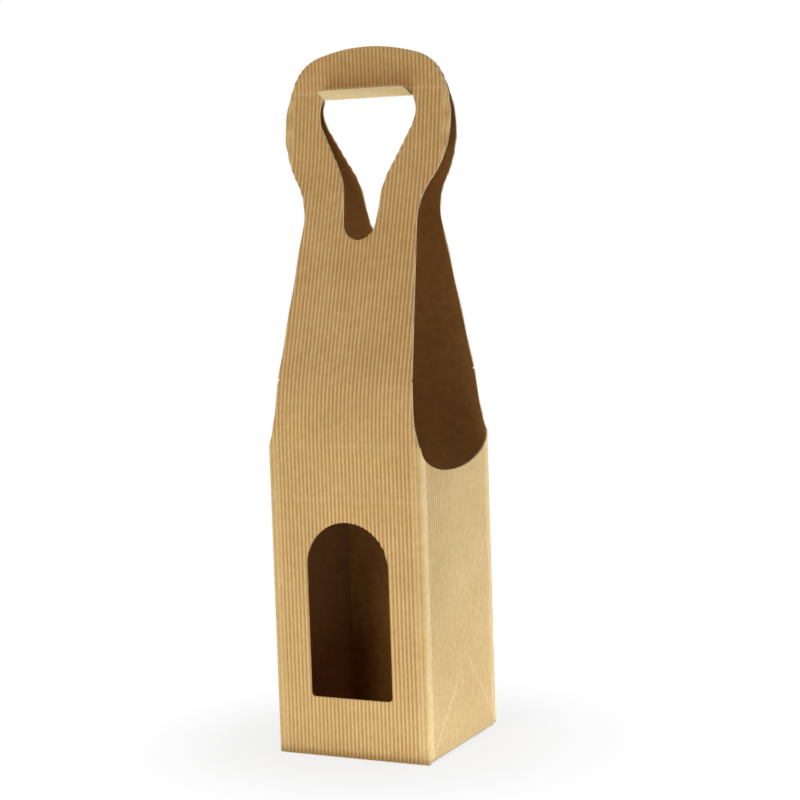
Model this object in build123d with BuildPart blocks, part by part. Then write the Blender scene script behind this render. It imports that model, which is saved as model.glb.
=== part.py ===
"""Bottle carrier folded and tucked from one die-cut blank of open-fluted kraft board.

The smooth liner faces inwards and the flutes stand on the outside, upright on every wall. The frame has
+Z up, the front towards -Y and its origin at the middle of the footprint. Lengths are in millimetres.
"""
import os
from math import atan2, ceil, cos, floor, radians, sin, sqrt, tan

from build123d import *

# Board
liner_thickness = 0.5
flute_height = 0.9
flute_pitch = 2.35
standing_crest_share = 0.36
crushed_thickness = 0.9
fold_radius = 0.8
fold_band = 4.5
crease_band = 1.5
layer_gap = 0.3

# Box
box_width = 92.4
box_depth = 92.4
corner_height = 171.0
side_cut_depth = 16.5
front_edge_height = 0.6
tongue_width = 44.0
tongue_height = 16.0
dust_flap_length = 38.0
dust_flap_inset = 3.0

# Window in the front wall
window_width = 49.0
window_height = 96.5
window_sill = 33.2
window_corner_radius = 2.5

# Handle panels that lean together from the front and back walls
bag_height = 385.0
bar_height = 24.0
bar_gap = 0.4
lower_bend_share = 0.79
upper_bend_share = 0.74
knee_share = 0.16
knee_angle = 9.0
lower_facets = 3
upper_facets = 2
flank_width = 82.4
flank_rise = 19.0
waist_width = 68.4
waist_drop = 97.0
cheek_width = 81.0
cheek_drop = 73.0
head_width = 99.8
head_drop = 46.0
brow_width = 89.2
brow_drop = 17.5
crown_width = 60.0
crown_drop = 4.7

# Hand hole, the neck slot below it and the flap folded out of it
hinge_drop = 25.7
grip_width = 54.4
grip_drop = 18.3
flare_width = 30.0
flare_drop = 41.8
slot_mouth_width = 22.8
slot_mouth_drop = 54.8
slot_width = 20.0
slot_drop = 79.0
flap_width = 52.8
flap_length = 10.0
flap_tip_width = 40.0
flap_end_length = 6.0
flap_rise_angle = 23.0

# Faces and levels that follow from the sizes above
board = liner_thickness + flute_height
inner_x = box_width / 2 - board
inner_y = box_depth / 2 - board
front_span = 2 * (inner_x - fold_radius)
side_span = 2 * (inner_y - fold_radius)
sole_fold_level = board + fold_radius
dust_fold_level = sole_fold_level + crushed_thickness + layer_gap
sole_length = side_span - layer_gap - crushed_thickness
bar_level = bag_height - bar_height
hinge_level = bag_height - hinge_drop
crease_level = hinge_level + crease_band

# Directions
front = Vector(0, -1, 0)
back = Vector(0, 1, 0)
up = Vector(0, 0, 1)
down = Vector(0, 0, -1)


def flute_points(side_count, crest_width):
    """Valleys and crests of a middle flute and side_count flutes on each side of it, from right to left."""
    points = []
    for index in range(side_count, -side_count - 1, -1):
        middle = index * flute_pitch
        points.append((middle + flute_pitch / 2, liner_thickness))
        points.append((middle + crest_width / 2, board))
        if crest_width > 0:
            points.append((middle - crest_width / 2, board))
    points.append((-points[0][0], liner_thickness))
    return points


def wall_section(span):
    """Section of a wall between two folds: liner on local X, flutes to local +Y, crushed beside each fold."""
    points = flute_points(floor((span / 2 - fold_band) / flute_pitch - 1 / 2), 0)
    reach = points[0][0]
    right = [(span / 2, 0), (span / 2, crushed_thickness), (reach, crushed_thickness)]
    left = [(-reach, crushed_thickness), (-span / 2, crushed_thickness), (-span / 2, 0)]
    with BuildSketch() as section:
        with BuildLine():
            Polyline(*right, *points, *left, close=True)
        make_face()
    return section.sketch


def cut_section(span, crest_width=0):
    """Section of a flap or panel with flutes up to its cut edges, their crests sharp unless given a width."""
    points = flute_points(ceil(span / 2 / flute_pitch), crest_width)
    reach = points[0][0]
    with BuildSketch() as section:
        with BuildLine():
            Polyline((reach, 0), *points, (-reach, 0), close=True)
        make_face()
        Rectangle(span, 2 * board, mode=Mode.INTERSECT)
    return section.sketch


def crushed_section(span):
    """Section of the board pressed flat along a fold."""
    with BuildSketch() as section:
        with Locations((0, crushed_thickness / 2)):
            Rectangle(span, crushed_thickness)
    return section.sketch


def board_plane(point, outer, way):
    """Plane across the board at a point of its liner: local Y to the fluted side, local Z along the way."""
    return Plane(origin=point, x_dir=outer.cross(way), z_dir=way)


def run_on(plane, section, length):
    """Carry a section straight on from a plane and return the plane it ends on."""
    with BuildSketch(plane) as placed:
        add(section)
    extrude(placed.sketch, amount=length)
    return plane.offset(length)


def bend(plane, section, pivot_offset, angle):
    """Turn a section about a pivot measured from its liner face and return the plane it leaves on.

    A pivot on the liner side, below zero, bends the board inwards; one on the fluted side bends it outwards.
    """
    pivot = plane.from_local_coords(Vector(0, pivot_offset, 0))
    spin = plane.x_dir if pivot_offset < 0 else plane.x_dir * -1
    with BuildSketch(plane) as placed:
        add(section)
    revolve(placed.sketch, axis=Axis(pivot, spin), revolution_arc=angle)
    turn = Axis((0, 0, 0), spin)
    leaving = pivot + (plane.origin - pivot).rotate(turn, angle)
    return Plane(origin=leaving, x_dir=plane.x_dir, z_dir=plane.z_dir.rotate(turn, angle))


# Lean of a handle panel between the wall it grows from and its knee, the straight stretch under the bar
panel_rise = bar_level - corner_height
lower_bend_radius = lower_bend_share * panel_rise
upper_bend_radius = upper_bend_share * panel_rise
knee_length = knee_share * panel_rise
knee = radians(knee_angle)
bend_sum = lower_bend_radius + upper_bend_radius
knee_reach = inner_y - bar_gap / 2 - knee_length * sin(knee)
centre_reach = knee_reach - upper_bend_radius * cos(knee) - lower_bend_radius
centre_rise = panel_rise - knee_length * cos(knee) + upper_bend_radius * sin(knee)
straight_run = sqrt(centre_reach**2 + centre_rise**2 - bend_sum**2)
lean = atan2(centre_reach, centre_rise) + atan2(bend_sum, straight_run)

# The front handle panel
with BuildPart() as handle_panel:
    # Board bent over from the wall, half back at the knee and upright at the bar, each bend in flat facets
    lower_tilts = [lean * facet / lower_facets for facet in range(lower_facets)]
    upper_tilts = [lean + (knee - lean) * facet / upper_facets for facet in range(upper_facets + 1)]
    lower_step = lower_bend_radius * tan(lean / lower_facets / 2)
    upper_step = upper_bend_radius * tan((lean - knee) / upper_facets / 2)
    lengths = [lower_step, *[2 * lower_step] * (lower_facets - 1), lower_step + straight_run + upper_step]
    lengths += [*[2 * upper_step] * (upper_facets - 1), upper_step + knee_length, bar_height]
    spots = [(-inner_y, corner_height)]
    for length, tilt in zip(lengths, [*lower_tilts, *upper_tilts, 0]):
        spots.append((spots[-1][0] + length * sin(tilt), spots[-1][1] + length * cos(tilt)))
    with BuildLine(Plane.YZ) as panel_path:
        Polyline(*spots)
    with BuildSketch(board_plane(front * inner_y + up * corner_height, front, up)):
        add(cut_section(head_width + flute_pitch))
    sweep(path=panel_path.wire(), transition=Transition.RIGHT)

    # Die-cut outline: a low crown, a wide head, a waist and flanks that spread to the folds
    with BuildSketch(Plane.XZ):
        with BuildLine():
            crown = TangentArc((0, bag_height), (crown_width / 2, bag_height - crown_drop), tangent=(1, 0))
            brow = TangentArc(crown @ 1, (brow_width / 2, bag_height - brow_drop), tangent=crown % 1)
            temple = TangentArc(brow @ 1, (head_width / 2, bag_height - head_drop), tangent=brow % 1)
            cheek = TangentArc(temple @ 1, (cheek_width / 2, bag_height - cheek_drop), tangent=temple % 1)
            waist = TangentArc(cheek @ 1, (waist_width / 2, bag_height - waist_drop), tangent=cheek % 1)
            flank = Line(waist @ 1, (flank_width / 2, corner_height + flank_rise))
            foot = TangentArc(flank @ 1, (inner_x, corner_height), tangent=flank % 1)
            Line(foot @ 1, (0, corner_height))
            mirror(about=Plane.YZ)
        make_face()
    extrude(amount=box_depth, mode=Mode.INTERSECT)

    # Hand hole running down into the neck slot
    with BuildSketch(Plane.XZ):
        with BuildLine():
            slot_low = hinge_level - slot_drop
            slot_end = TangentArc((0, slot_low), (slot_width / 2, slot_low + slot_width / 2), tangent=(1, 0))
            throat = Line(slot_end @ 1, (slot_mouth_width / 2, hinge_level - slot_mouth_drop))
            flare = TangentArc(throat @ 1, (flare_width / 2, hinge_level - flare_drop), tangent=throat % 1)
            grip = Line(flare @ 1, (grip_width / 2, hinge_level - grip_drop))
            TangentArc(grip @ 1, (flap_width / 2, hinge_level), tangent=grip % 1)
            Polyline((flap_width / 2, hinge_level), (flap_width / 2, crease_level), (0, crease_level))
            mirror(about=Plane.YZ)
        make_face()
    extrude(amount=box_depth, mode=Mode.SUBTRACT)

    # Flap of the hand hole, turned outwards and up under the bar
    flap_top = board_plane(front * (bar_gap / 2) + up * crease_level, front, down)
    flap_crease = crushed_section(flap_width)
    flap_hinge = run_on(flap_top, flap_crease, crease_band)
    flap_bend = bend(flap_hinge, flap_crease, fold_radius + crushed_thickness, 90 + flap_rise_angle)
    flap_foot = run_on(flap_bend, flap_crease, crease_band)
    run_on(flap_foot, cut_section(flap_width), flap_length - crease_band)

    # Corners cut off the free edge of the flap
    flap_fall = cos(radians(flap_rise_angle))
    flap_tip = (flap_tip_width / 2, flap_bend.origin.Y - flap_length * flap_fall)
    flap_end = (flap_width / 2, flap_bend.origin.Y - flap_end_length * flap_fall)
    with BuildSketch(Plane.XY.offset(hinge_level - bar_height / 2)):
        with BuildLine():
            Polyline(flap_tip, flap_end, (flap_width / 2, flap_tip[1]), close=True)
        make_face()
        mirror(about=Plane.YZ)
    extrude(amount=bar_height, mode=Mode.SUBTRACT)

with BuildPart() as bag:
    # Front wall, standing on its cut edge
    run_on(board_plane(front * inner_y + up * front_edge_height, front, up), wall_section(front_span),
           corner_height - front_edge_height)

    # Back wall, folded under as the bottom panel
    back_crease = back * inner_y + up * (sole_fold_level + crease_band)
    run_on(board_plane(back_crease, back, up), wall_section(front_span), corner_height - back_crease.Z)
    sole_crease = crushed_section(front_span)
    back_fold = run_on(board_plane(back_crease, back, down), sole_crease, crease_band)
    heel = run_on(bend(back_fold, sole_crease, -fold_radius, 90), sole_crease, crease_band)
    sole_section = cut_section(front_span, standing_crest_share * flute_pitch)
    toe = run_on(heel, sole_section, sole_length - 2 * crease_band)

    # Tongue of the bottom panel, turned up behind the front wall
    tongue_fold = run_on(toe, sole_crease, crease_band)
    tongue_foot = bend(tongue_fold, crushed_section(tongue_width), -fold_radius, 90)
    run_on(tongue_foot, crushed_section(tongue_width), tongue_height)

    # Side walls, each folded in as a plain dust flap above the bottom panel
    for outer in (Vector(-1, 0, 0), Vector(1, 0, 0)):
        side_crease = outer * inner_x + up * (dust_fold_level + crease_band)
        run_on(board_plane(side_crease, outer, up), wall_section(side_span), corner_height - side_crease.Z)
        side_fold = run_on(board_plane(side_crease, outer, down), crushed_section(side_span), crease_band)
        dust_section = crushed_section(side_span - 2 * dust_flap_inset)
        run_on(bend(side_fold, dust_section, -fold_radius, 90), dust_section, dust_flap_length)

    # Crushed upright folds at the four corners
    with BuildSketch(Plane.XY.offset(front_edge_height)):
        with GridLocations(front_span, side_span, 2, 2):
            Circle(fold_radius + crushed_thickness)
            Circle(fold_radius, mode=Mode.SUBTRACT)
        Rectangle(front_span, box_depth, mode=Mode.SUBTRACT)
        Rectangle(box_width, side_span, mode=Mode.SUBTRACT)
    extrude(amount=corner_height - front_edge_height)

    # Round cut that leaves each side wall low between the handle panels
    with BuildSketch(Plane.YZ):
        with BuildLine():
            cut_centre = (0, corner_height)
            side_cut = EllipticalCenterArc(cut_centre, inner_y, side_cut_depth, start_angle=180, arc_size=180)
            Line(side_cut @ 1, side_cut @ 0)
        make_face()
    extrude(amount=box_width, both=True, mode=Mode.SUBTRACT)

    # Arched window in the front wall
    with BuildSketch(Plane.XZ):
        window_top = window_sill + window_height
        arch_level = window_top - window_width / 2
        with BuildLine():
            jambs = Polyline(
                (-window_width / 2, arch_level),
                (-window_width / 2, window_sill),
                (window_width / 2, window_sill),
                (window_width / 2, arch_level),
            )
            ThreePointArc(jambs @ 1, (0, window_top), jambs @ 0)
        make_face()
        fillet(vertices().group_by(Axis.Y)[0], window_corner_radius)
    extrude(amount=box_depth, mode=Mode.SUBTRACT)

    # The two handle panels
    add(handle_panel.part)
    add(handle_panel.part, rotation=(0, 0, 180))

bag.part.label = "bag"
os.makedirs("parts", exist_ok=True)
export_step(bag.part, "parts/bag.step")
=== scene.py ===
"""Tall carrier bag of open-fluted kraft board, standing on a pale floor in soft light.

The board is modelled as it is made: a smooth liner with a fluted sheet glued to its outside. Each panel is
laid out as these two thin sheets, bent along its path and trimmed by its die line. Lengths are in metres, in
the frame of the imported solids, with +Z up and the front towards -Y.
"""

import logging
from dataclasses import dataclass, field
from enum import Enum, IntEnum
from math import acos, asin, atan2, ceil, cos, pi, radians, sin, sqrt, tan
from typing import Callable

import bmesh
import bpy
from bmesh.types import BMesh, BMVert
from mathutils import Matrix, Vector


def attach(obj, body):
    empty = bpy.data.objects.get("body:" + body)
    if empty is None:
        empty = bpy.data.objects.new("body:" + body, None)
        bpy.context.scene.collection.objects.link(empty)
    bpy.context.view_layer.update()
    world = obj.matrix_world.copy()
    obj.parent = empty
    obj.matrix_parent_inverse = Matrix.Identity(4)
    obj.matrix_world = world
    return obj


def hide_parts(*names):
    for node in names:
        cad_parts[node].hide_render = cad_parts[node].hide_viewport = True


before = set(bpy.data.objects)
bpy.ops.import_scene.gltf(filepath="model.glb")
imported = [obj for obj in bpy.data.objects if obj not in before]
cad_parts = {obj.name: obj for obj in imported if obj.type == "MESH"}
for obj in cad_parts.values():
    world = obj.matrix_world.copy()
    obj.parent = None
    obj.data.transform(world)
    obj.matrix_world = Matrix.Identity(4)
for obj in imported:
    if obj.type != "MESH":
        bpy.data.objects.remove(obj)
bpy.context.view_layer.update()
LOG = logging.getLogger("carrier")
MM = 0.001
Height = Callable[[float, float], float]
Socket = bpy.types.NodeSocket
Colour = tuple[float, float, float, float]
Triple = tuple[float, float, float]
WHITE: Colour = (1, 1, 1, 1)
# Points closer than this are one point
MERGE_DISTANCE = 0.001 * MM
# A face whose normal has more than this along an axis is an end that faces that way
END_SHARE = 0.9


def smooth_share(value: float, low: float, high: float) -> float:
    """Share from 0 at low to 1 at high, with soft ends."""
    share = min(max((value - low) / (high - low), 0.0), 1.0)
    return share * share * (3 - 2 * share)


class Finish(IntEnum):
    """Material slots of the bag, in order."""

    FLUTES = 0
    # Liner: darker kraft than the outside, darkened further as painted shade for the bag's shaded inside
    LINER = 1
    CUT_EDGE = 2
    # The same liner on the hand flap's turned-out face, painted paler as painted light from below
    FLAP_FACE = 3


class Facing(Enum):
    """Side of the bag that a panel stands on."""

    FRONT = "front"
    BACK = "back"
    RIGHT = "right"
    LEFT = "left"

    @property
    def turn(self) -> float:
        """Turn about Z that brings a panel built for the front or the right to its side."""
        return pi if self in (Facing.BACK, Facing.LEFT) else 0.0


@dataclass(frozen=True)
class Board:
    """Sizes of the open-fluted board."""

    thickness: float = 1.4 * MM
    liner: float = 0.42 * MM
    medium: float = 0.24 * MM
    pitch: float = 2.35 * MM
    crushed: float = 0.9 * MM
    ripple: float = 0.05 * MM
    fold_radius: float = 0.8 * MM
    fold_ripple: float = 0.5 * MM
    fold_band: float = 4.85 * MM
    crease_band: float = 1.8 * MM
    crease_rows: int = 3
    glue_sink: float = 0.02 * MM
    liner_columns: int = 6
    steps: int = 8
    bend_steps: int = 12
    corner_steps: int = 8

    @property
    def valley(self) -> float:
        """Height of the flutes' valleys above the liner's inner face."""
        return self.liner + self.medium - self.glue_sink

    def crease_runs(self) -> list[float]:
        """Distances of the rows of points beside a crease, from its line to where the flutes stand."""
        return [self.crease_band * row / self.crease_rows for row in range(self.crease_rows + 1)]

    def flute_height(self, across: float, share: float) -> float:
        """Height of the fluted face above the liner's inner face.

        Args:
            across: Place across the flutes, with a crest at zero.
            share: How much of the flute stands, from 0 where it is crushed flat to 1.

        Returns:
            The height in metres.
        """
        wave = (1 + cos(2 * pi * across / self.pitch)) / 2
        flute = self.valley + (self.thickness - self.valley) * wave
        flat = self.crushed + self.ripple * (2 * wave - 1)
        return flat + (flute - flat) * share


@dataclass(frozen=True)
class BagSizes:
    """Driving sizes of the folded bag."""

    width: float = 92.4 * MM
    depth: float = 92.4 * MM
    height: float = 385 * MM
    corner_height: float = 171 * MM
    side_cut_depth: float = 16.5 * MM
    press_level: float = 142 * MM
    front_edge: float = 0.6 * MM
    bar_height: float = 24 * MM
    bar_gap: float = 0.4 * MM
    layer_gap: float = 0.3 * MM
    hinge_drop: float = 25.7 * MM
    flap_width: float = 52.8 * MM
    board: Board = Board()

    @property
    def inner_x(self) -> float:
        """Distance from the middle to the side walls' inner faces."""
        return self.width / 2 - self.board.thickness

    @property
    def inner_y(self) -> float:
        """Distance from the middle to the front and back walls' inner faces."""
        return self.depth / 2 - self.board.thickness

    @property
    def front_half(self) -> float:
        """Half the front wall's width between its folds."""
        return self.inner_x - self.board.fold_radius

    @property
    def side_half(self) -> float:
        """Half a side wall's width between its folds."""
        return self.inner_y - self.board.fold_radius

    @property
    def sole_fold(self) -> float:
        """Level at which the back wall starts to fold under."""
        return self.board.thickness + self.board.fold_radius

    @property
    def dust_fold(self) -> float:
        """Level at which the side walls start to fold in."""
        return self.sole_fold + self.board.crushed + self.layer_gap

    @property
    def bar_level(self) -> float:
        """Level from which the two handle panels stand back to back."""
        return self.height - self.bar_height

    @property
    def hinge_level(self) -> float:
        """Level of the hand flap's fold."""
        return self.height - self.hinge_drop

    def cut_level(self, y: float) -> float:
        """Level of the side walls' cut edge, half an ellipse from front to back."""
        return self.corner_height - self.side_cut_depth * sqrt(max(1 - (y / self.inner_y) ** 2, 0))


@dataclass(frozen=True)
class Station:
    """A cross line of a panel: a point of the liner's inner face and the way out of the bag there."""

    point: Vector
    outward: Vector
    run: float


class DieLine:
    """Pen that draws a cutting line in its local XY plane and pushes it through the board as a cutter."""

    def __init__(self, x: float, y: float) -> None:
        """Set the pen down.

        Args:
            x: Start of the line along local X.
            y: Start of the line along local Y.
        """
        self.mesh: BMesh = bmesh.new()
        self.tip: BMVert = self.mesh.verts.new((x, y, 0))
        self.heading = Vector((0, 1, 0))

    def line_to(self, x: float, y: float) -> "DieLine":
        """Draw a straight line.

        Args:
            x: End of the line along local X.
            y: End of the line along local Y.

        Returns:
            The pen.
        """
        target = Vector((x, y, 0))
        self.heading = (target - self.tip.co).normalized()
        self.tip = bmesh.ops.extrude_vert_indiv(self.mesh, verts=[self.tip])["verts"][0]
        self.tip.co = target
        return self

    def arc_to(self, x: float, y: float, steps: int = 16) -> "DieLine":
        """Draw an arc that leaves along the pen's heading.

        Args:
            x: End of the arc along local X.
            y: End of the arc along local Y.
            steps: Number of chords.

        Returns:
            The pen.
        """
        chord = Vector((x, y, 0)) - self.tip.co
        left = Vector((-self.heading.y, self.heading.x, 0))
        sideways = chord.dot(left)
        angle = 2 * atan2(sideways, chord.dot(self.heading))
        centre = self.tip.co + left * (chord.length_squared / (2 * sideways))
        turned = bmesh.ops.spin(
            self.mesh, geom=[self.tip], cent=centre, axis=(0, 0, 1), angle=angle, steps=steps, use_merge=False
        )
        self.tip = next(item for item in turned["geom_last"] if isinstance(item, BMVert))
        self.heading.rotate(Matrix.Rotation(angle, 3, "Z"))
        return self

    def head(self, x: float, y: float) -> "DieLine":
        """Turn the pen to a new heading and return it."""
        self.heading = Vector((x, y, 0)).normalized()
        return self

    def cutter(self, stand: Matrix, reach: float, mirrored: bool = True) -> bpy.types.Object:
        """Close the line and push it through the board.

        Args:
            stand: Rotation that stands the local plane up in the bag's frame.
            reach: How far the cutter runs along the local Z axis.
            mirrored: Whether the line is one half of a shape that is even about local X = 0.

        Returns:
            The cutter object.
        """
        if mirrored:
            drawn = self.mesh.verts[:] + self.mesh.edges[:]
            bmesh.ops.mirror(self.mesh, geom=drawn, axis="X", merge_dist=MERGE_DISTANCE)
        bmesh.ops.remove_doubles(self.mesh, verts=self.mesh.verts[:], dist=MERGE_DISTANCE)
        bmesh.ops.contextual_create(self.mesh, geom=self.mesh.edges[:])
        pushed = bmesh.ops.extrude_face_region(self.mesh, geom=self.mesh.faces[:])["geom"]
        moved = [item for item in pushed if isinstance(item, BMVert)]
        bmesh.ops.translate(self.mesh, verts=moved, vec=(0, 0, reach))
        bmesh.ops.recalc_face_normals(self.mesh, faces=self.mesh.faces[:])
        bmesh.ops.transform(self.mesh, matrix=stand, verts=self.mesh.verts[:])
        for face in self.mesh.faces:
            face.material_index = Finish.CUT_EDGE
        return loose_object("die", self.mesh)


# Local XY stood up as XZ with local Z to the front, and as YZ with local Z to the right
FRONT_STAND = Matrix(((1, 0, 0, 0), (0, 0, -1, 0), (0, 1, 0, 0), (0, 0, 0, 1)))
SIDE_STAND = Matrix(((0, 0, 1, 0), (1, 0, 0, 0), (0, 1, 0, 0), (0, 0, 0, 1)))


def loose_object(name: str, mesh: BMesh) -> bpy.types.Object:
    """Turn a bmesh into an object that carries the bag's material slots.

    Args:
        name: Name of the object.
        mesh: The bmesh, which is freed.

    Returns:
        The linked object.
    """
    data = bpy.data.meshes.new(name)
    mesh.to_mesh(data)
    mesh.free()
    for finish in Finish:
        data.materials.append(bpy.data.materials.get(finish.name.lower()))
    made = bpy.data.objects.new(name, data)
    bpy.context.collection.objects.link(made)
    return made


@dataclass
class BoardPanel:
    """A panel of board: a liner sheet and a fluted sheet laid along a path and trimmed by die lines."""

    name: str
    board: Board
    path: list[Station]
    across: Vector
    half_width: float
    standing: Height
    turn: float = 0.0
    inner: Finish = Finish.LINER

    def lay_sheet(
        self, finish: Finish, columns: int, half_width: float, height: Height, thickness: float
    ) -> bpy.types.Object:
        """Lay one sheet of the board along the path.

        Args:
            finish: Material slot of the sheet.
            columns: Number of strips across.
            half_width: Half the sheet's width before it is trimmed.
            height: Outer face's height above the liner's inner face, from the places across and along.
            thickness: Thickness of the sheet, taken inwards from its outer face.

        Returns:
            The sheet as an object with its thickness still a modifier.
        """
        mesh = bmesh.new()
        rows = len(self.path) - 1
        bmesh.ops.create_grid(mesh, x_segments=columns, y_segments=rows, size=1)
        for vert in mesh.verts:
            station = self.path[round((vert.co.y + 1) / 2 * rows)]
            place = vert.co.x * half_width
            vert.co = station.point + self.across * place + station.outward * height(place, station.run)
        for face in mesh.faces:
            face.material_index = finish
            face.smooth = True
        sheet = loose_object(self.name, mesh)
        shell = sheet.modifiers.new("thickness", "SOLIDIFY")
        shell.thickness = thickness
        shell.offset = -1
        shell.material_offset_rim = Finish.CUT_EDGE - finish
        return sheet

    def build(self, outline: bpy.types.Object, holes: list[bpy.types.Object], bag: BMesh) -> None:
        """Lay both sheets, trim them and add them to the bag.

        Args:
            outline: Cutter that holds all of the panel.
            holes: Cutters of what is stamped out of it.
            bag: The bag's mesh.
        """
        flutes = 2 * ceil(self.half_width / self.board.pitch) + 1
        fluted_half = flutes * self.board.pitch / 2
        fluted = self.lay_sheet(
            Finish.FLUTES,
            flutes * self.board.steps,
            fluted_half,
            lambda place, run: self.board.flute_height(place, self.standing(place, run)),
            self.board.medium,
        )
        liner = self.lay_sheet(
            self.inner,
            self.board.liner_columns,
            fluted_half,
            lambda place, run: self.board.liner,
            self.board.liner,
        )
        for sheet in (fluted, liner):
            for cutter, operation in [(outline, "INTERSECT"), *[(hole, "DIFFERENCE") for hole in holes]]:
                trim = sheet.modifiers.new("trim", "BOOLEAN")
                trim.object = cutter
                trim.operation = operation
                trim.solver = "EXACT"
            add_finished(sheet, bag, self.turn)


def add_finished(piece: bpy.types.Object, bag: BMesh, turn: float) -> None:
    """Add a loose object to the bag with its modifiers applied, and remove the object.

    Args:
        piece: The object.
        bag: The bag's mesh.
        turn: Turn about Z, in radians.
    """
    finished = piece.evaluated_get(bpy.context.evaluated_depsgraph_get()).to_mesh()
    finished.transform(Matrix.Rotation(turn, 4, "Z"))
    bag.from_mesh(finished)
    LOG.info("%s: %d faces", piece.name, len(finished.polygons))
    bpy.data.objects.remove(piece)


def remove_cutters(cutters: list[bpy.types.Object]) -> None:
    """Delete cutters that have done their work."""
    for cutter in cutters:
        bpy.data.objects.remove(cutter)


@dataclass(frozen=True)
class PanelPath:
    """Route of the front panel's inner face from the wall up to the bar.

    It bends in, leans, bends half back into a straight knee and stands upright again at the bar.
    """

    sizes: BagSizes
    lower_bend_share: float = 0.79
    upper_bend_share: float = 0.74
    knee_share: float = 0.16
    knee: float = radians(9)

    @property
    def rise(self) -> float:
        """Height of the panel between the wall and the bar."""
        return self.sizes.bar_level - self.sizes.corner_height

    @property
    def lower_bend(self) -> float:
        """Radius of the bend out of the wall."""
        return self.lower_bend_share * self.rise

    @property
    def upper_bend(self) -> float:
        """Radius of the bend into the knee."""
        return self.upper_bend_share * self.rise

    def lean(self) -> tuple[float, float]:
        """Find the leaning stretch that meets both bends.

        Returns:
            Its angle from upright and its length.
        """
        knee_length = self.knee_share * self.rise
        knee_reach = self.sizes.inner_y - self.sizes.bar_gap / 2 - knee_length * sin(self.knee)
        reach = knee_reach - self.upper_bend * cos(self.knee) - self.lower_bend
        rise = self.rise - knee_length * cos(self.knee) + self.upper_bend * sin(self.knee)
        bends = self.lower_bend + self.upper_bend
        straight = sqrt(reach**2 + rise**2 - bends**2)
        return atan2(reach, rise) + atan2(bends, straight), straight

    def lean_levels(self) -> tuple[float, float]:
        """Find where the leaning stretch starts and ends.

        Returns:
            The two levels, the lower one first.
        """
        lean, straight = self.lean()
        start = self.sizes.corner_height + self.lower_bend * sin(lean)
        return start, start + straight * cos(lean)

    def station(self, level: float) -> Station:
        """Find the cross line of the panel at a level.

        Args:
            level: Height above the floor.

        Returns:
            The cross line, with its level as its run.
        """
        sizes = self.sizes
        lean, _ = self.lean()
        lean_level, back_level = self.lean_levels()
        knee_level = back_level + self.upper_bend * (sin(lean) - sin(self.knee))
        if level <= sizes.corner_height:
            tilt, y = 0.0, -sizes.inner_y
        elif level <= lean_level:
            tilt = asin((level - sizes.corner_height) / self.lower_bend)
            y = -sizes.inner_y + self.lower_bend * (1 - cos(tilt))
        elif level <= back_level:
            tilt = lean
            y = -sizes.inner_y + self.lower_bend * (1 - cos(lean)) + (level - lean_level) * tan(lean)
        elif level <= knee_level:
            tilt = asin(sin(lean) - (level - back_level) / self.upper_bend)
            bent = self.upper_bend * (cos(self.knee) - cos(tilt))
            y = -sizes.bar_gap / 2 - (sizes.bar_level - knee_level) * tan(self.knee) - bent
        elif level < sizes.bar_level:
            tilt = self.knee
            y = -sizes.bar_gap / 2 - (sizes.bar_level - level) * tan(self.knee)
        elif level == sizes.bar_level:
            tilt, y = self.knee / 2, -sizes.bar_gap / 2
        else:
            tilt, y = 0.0, -sizes.bar_gap / 2
        return Station(Vector((0, y, level)), Vector((0, -cos(tilt), sin(tilt))), level)

    def bend_levels(self, rows: int) -> set[float]:
        """Space rows evenly round the two bends.

        Args:
            rows: Number of strips round each bend.

        Returns:
            The levels of the rows.
        """
        lean, _ = self.lean()
        _, back_level = self.lean_levels()
        levels = set()
        for row in range(rows + 1):
            levels.add(self.sizes.corner_height + self.lower_bend * sin(lean * row / rows))
            tilt = lean + (self.knee - lean) * row / rows
            levels.add(back_level + self.upper_bend * (sin(lean) - sin(tilt)))
        return levels


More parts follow.
